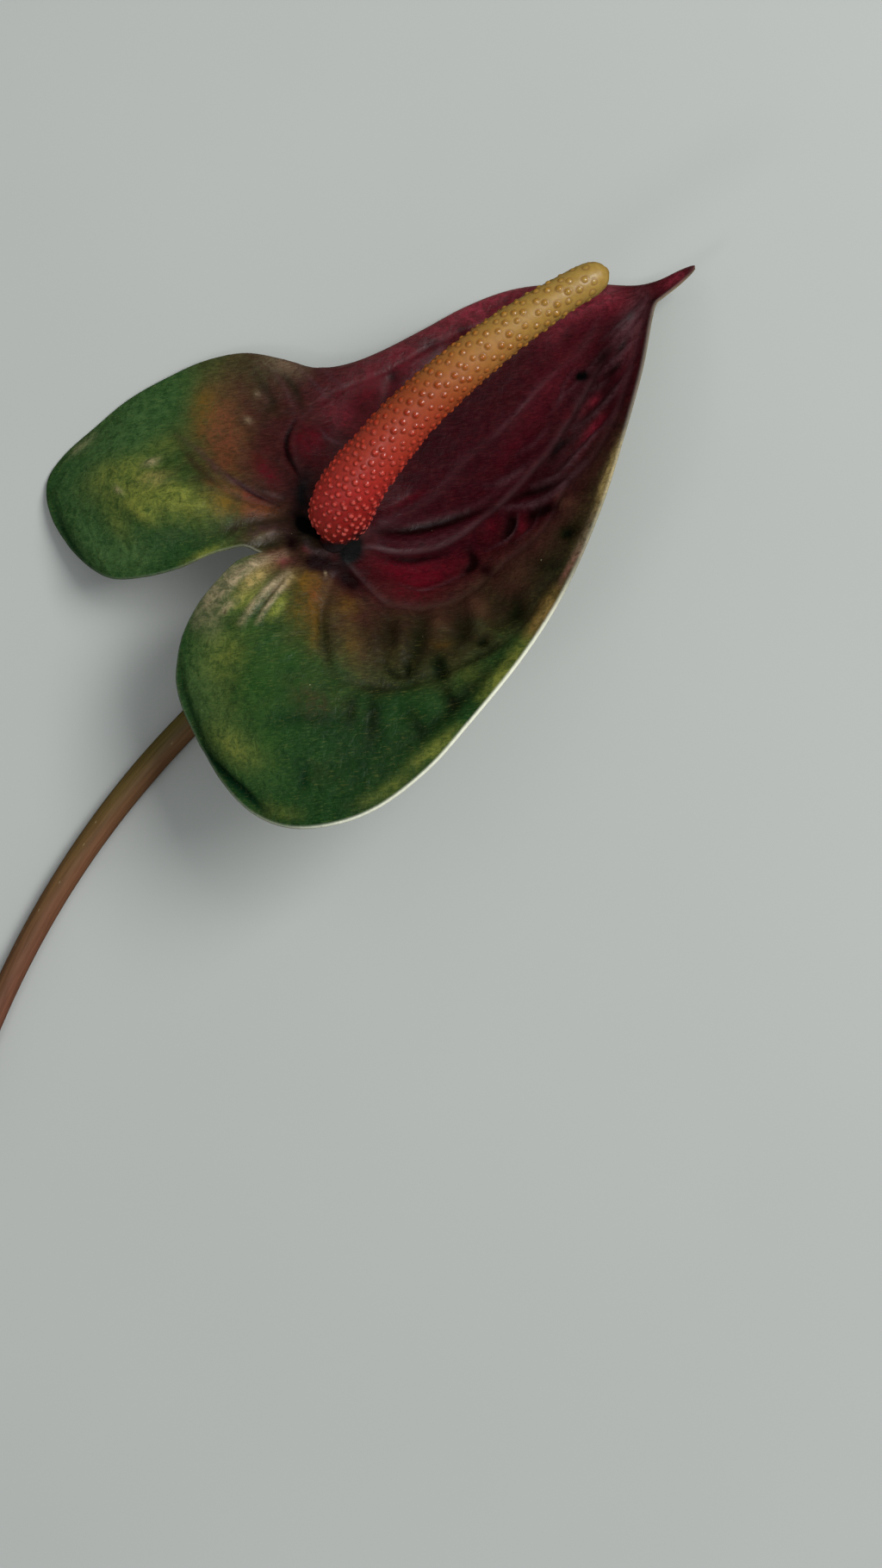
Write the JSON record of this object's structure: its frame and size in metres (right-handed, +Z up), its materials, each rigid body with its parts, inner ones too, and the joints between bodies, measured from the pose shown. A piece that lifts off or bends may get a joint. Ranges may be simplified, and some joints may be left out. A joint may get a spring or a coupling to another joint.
{
  "type": "cut anthurium stem",
  "caption": "Cut anthurium lying on a surface: long bent stem, leaning heart-shaped spathe in maroon and green, and a warty spadix that fades from red to gold",
  "frame": {"origin": "on the surface that the stem lies on, under the middle of the bounding box", "axes": "+Z up, away from the surface; +Y from the cut end towards the flower, along the stem's length; +X to the right of someone who looks down on it with the flower away from them"},
  "size_m": [0.1406, 0.4128, 0.0442],
  "materials": {
    "peduncle": "satin, fresh plant stem, olive to red brown",
    "spathe": "glossy waxy leaf, maroon centre and green lobes",
    "spadix": "satin, beaded, red at the base to gold at the tip"
  },
  "bodies": {
    "root": {"peduncle": "peduncle", "spathe": "spathe", "spadix": "spadix"}
  },
  "joints": []
}
